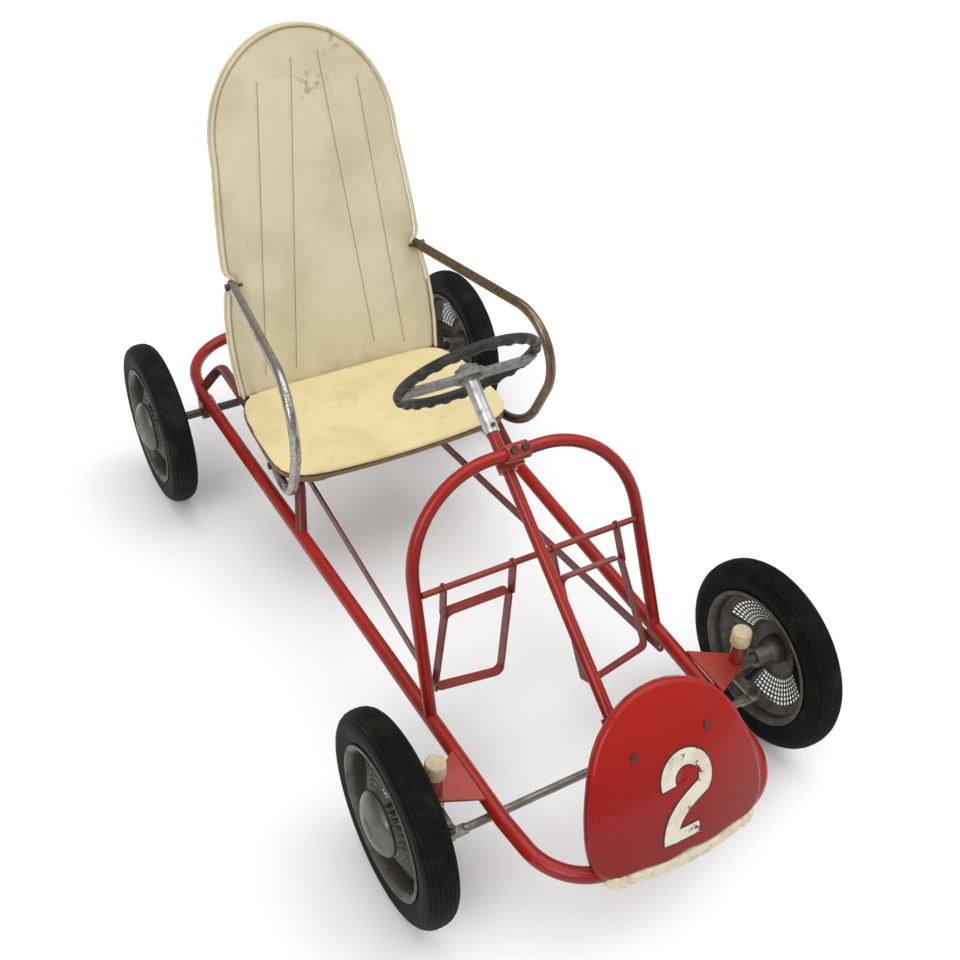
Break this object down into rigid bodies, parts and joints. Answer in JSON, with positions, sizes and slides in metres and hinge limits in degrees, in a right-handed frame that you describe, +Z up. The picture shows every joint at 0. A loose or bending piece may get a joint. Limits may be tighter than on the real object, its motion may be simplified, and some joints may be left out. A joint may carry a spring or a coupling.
{
  "type": "pedal go kart",
  "caption": "Child's pedal go kart: tubular frame with pressed wheels, hoop, handwheel steering by tie rod, swinging pedals on cranks, padded seat and numbered cowl.",
  "frame": {"origin": "on the ground under the middle of the kart's length and width", "axes": "+Z up, +Y from the front bumper towards the rear bow, +X towards the driver's left"},
  "size_m": [0.5976, 1.1925, 0.7049],
  "materials": {
    "frame_paint": "glossy red stove enamel, worn and darkened with age",
    "cowl_paint": "glossy red enamel, scuffed",
    "pedal_paint": "thin dark red paint, rubbed",
    "bare_steel": "dull dark steel",
    "fixings": "dark rusted screws and bolts",
    "tyre_rubber": "matt black ribbed rubber",
    "wheel_metal": "tarnished grey-brown pressed steel",
    "hub_metal": "tarnished turned steel",
    "sleeve_alloy": "satin",
    "hub_casting": "mottled grey casting",
    "rim_plastic": "dark grey moulded plastic with a soft sheen",
    "cap_plastic": "grubby cream moulding, knurled",
    "bumper_plastic": "cream moulding, yellowed",
    "seat_vinyl": "cream-yellow coated cloth, stained and soft",
    "back_vinyl": "off-white coated cloth with piping",
    "plywood": "plain board, unpainted",
    "back_steel": "dark bent tube",
    "dull_chrome": "dull plating with fine pitting",
    "rusty_chrome": "plating browned with rust"
  },
  "bodies": {
    "chassis": {"armrest_bolts": "fixings", "armrest_left": "rusty_chrome", "armrest_right": "dull_chrome", "axle_bracket_left": "frame_paint", "axle_bracket_right": "frame_paint", "backrest_frame": "back_steel", "backrest_pad": "back_vinyl", "bumper": "bumper_plastic", "clamp_bolts": "fixings", "column_clamp": "frame_paint", "column_foot_bracket": "frame_paint", "cowl": "cowl_paint", "cowl_cross_strip": "frame_paint", "cowl_screws": "fixings", "dash_hoop": "frame_paint", "frame_front_bow": "frame_paint", "frame_rail_left": "frame_paint", "frame_rail_right": "frame_paint", "frame_rear_bow": "frame_paint", "kingpin_cap_left": "cap_plastic", "kingpin_cap_right": "cap_plastic", "kingpin_plate_left": "frame_paint", "kingpin_plate_right": "frame_paint", "pedal_pivot_rod": "frame_paint", "seat_board": "plywood", "seat_pad": "seat_vinyl", "seat_tube_left": "frame_paint", "seat_tube_right": "frame_paint"},
    "steering": {"column_tube": "frame_paint", "steering_arm": "bare_steel", "column_sleeve": "sleeve_alloy", "sleeve_screw": "fixings", "handwheel_rim": "rim_plastic", "handwheel_hub": "hub_casting"},
    "knuckle_left_body": {"knuckle_left": "bare_steel"},
    "knuckle_right_body": {"knuckle_right": "bare_steel"},
    "tie_bar": {"tie_rod": "bare_steel", "tie_rod_fork": "frame_paint", "tie_rod_bolts": "fixings"},
    "front_wheel_left": {"wheel_front_left_tyre": "tyre_rubber", "wheel_front_left_disc": "wheel_metal", "wheel_front_left_hub_cap": "hub_metal"},
    "front_wheel_right": {"wheel_front_right_tyre": "tyre_rubber", "wheel_front_right_disc": "wheel_metal", "wheel_front_right_hub_cap": "hub_metal"},
    "rear_axle": {"rear_crank_axle": "bare_steel", "wheel_rear_left_tyre": "tyre_rubber", "wheel_rear_left_disc": "wheel_metal", "wheel_rear_left_hub_cap": "hub_metal", "wheel_rear_right_tyre": "tyre_rubber", "wheel_rear_right_disc": "wheel_metal", "wheel_rear_right_hub_cap": "hub_metal"},
    "drive_rod_left": {"connecting_rod_left": "pedal_paint", "rod_bolt_left": "fixings"},
    "drive_rod_right": {"connecting_rod_right": "pedal_paint", "rod_bolt_right": "fixings"},
    "pedal_left": {"pedal_frame_left": "pedal_paint", "pedal_hangers_left": "pedal_paint"},
    "pedal_right": {"pedal_frame_right": "pedal_paint", "pedal_hangers_right": "pedal_paint"}
  },
  "joints": [
    {"name": "steering_turn", "type": "hinge", "parent": "chassis", "child": "steering", "pos_m": [0, -0.4002, 0.1955], "axis": [0, 0.8, 0.6], "range_deg": [-45, 45]},
    {"name": "knuckle_left_turn", "type": "hinge", "parent": "chassis", "child": "knuckle_left_body", "pos_m": [0.214, -0.4002, 0.127], "axis": [0, 0, 1], "range_deg": [-28, 28]},
    {"name": "knuckle_right_turn", "type": "hinge", "parent": "chassis", "child": "knuckle_right_body", "pos_m": [-0.214, -0.4002, 0.127], "axis": [0, 0, 1], "range_deg": [-28, 28]},
    {"name": "tie_bar_turn", "type": "hinge", "parent": "knuckle_left_body", "child": "tie_bar", "pos_m": [0.214, -0.4397, 0.11], "axis": [0, 0, 1], "range_deg": [-28, 28]},
    {"name": "front_wheel_left_spin", "type": "hinge", "parent": "knuckle_left_body", "child": "front_wheel_left", "pos_m": [0.264, -0.4002, 0.127], "axis": [1, 0, 0], "continuous": true},
    {"name": "front_wheel_right_spin", "type": "hinge", "parent": "knuckle_right_body", "child": "front_wheel_right", "pos_m": [-0.264, -0.4002, 0.127], "axis": [1, 0, 0], "continuous": true},
    {"name": "rear_axle_spin", "type": "hinge", "parent": "chassis", "child": "rear_axle", "pos_m": [0, 0.4268, 0.127], "axis": [1, 0, 0], "continuous": true},
    {"name": "drive_rod_left_pivot", "type": "hinge", "parent": "rear_axle", "child": "drive_rod_left", "pos_m": [0.116, 0.41593, 0.08643], "axis": [1, 0, 0], "continuous": true},
    {"name": "drive_rod_right_pivot", "type": "hinge", "parent": "rear_axle", "child": "drive_rod_right", "pos_m": [-0.116, 0.43767, 0.16757], "axis": [1, 0, 0], "continuous": true},
    {"name": "pedal_left_swing", "type": "hinge", "parent": "chassis", "child": "pedal_left", "pos_m": [0, -0.2432, 0.279], "axis": [1, 0, 0], "range_deg": [-4, 32]},
    {"name": "pedal_right_swing", "type": "hinge", "parent": "chassis", "child": "pedal_right", "pos_m": [0, -0.2432, 0.279], "axis": [1, 0, 0], "range_deg": [-32, 4]}
  ],
  "couplings": [
    {"joint": "knuckle_left_turn", "follows": "steering_turn", "ratio": 0.6},
    {"joint": "knuckle_right_turn", "follows": "steering_turn", "ratio": 0.6},
    {"joint": "tie_bar_turn", "follows": "steering_turn", "ratio": -0.6},
    {"joint": "drive_rod_left_pivot", "follows": "rear_axle_spin", "ratio": -1},
    {"joint": "drive_rod_right_pivot", "follows": "rear_axle_spin", "ratio": -1},
    {"joint": "pedal_right_swing", "follows": "pedal_left_swing", "ratio": -1}
  ]
}
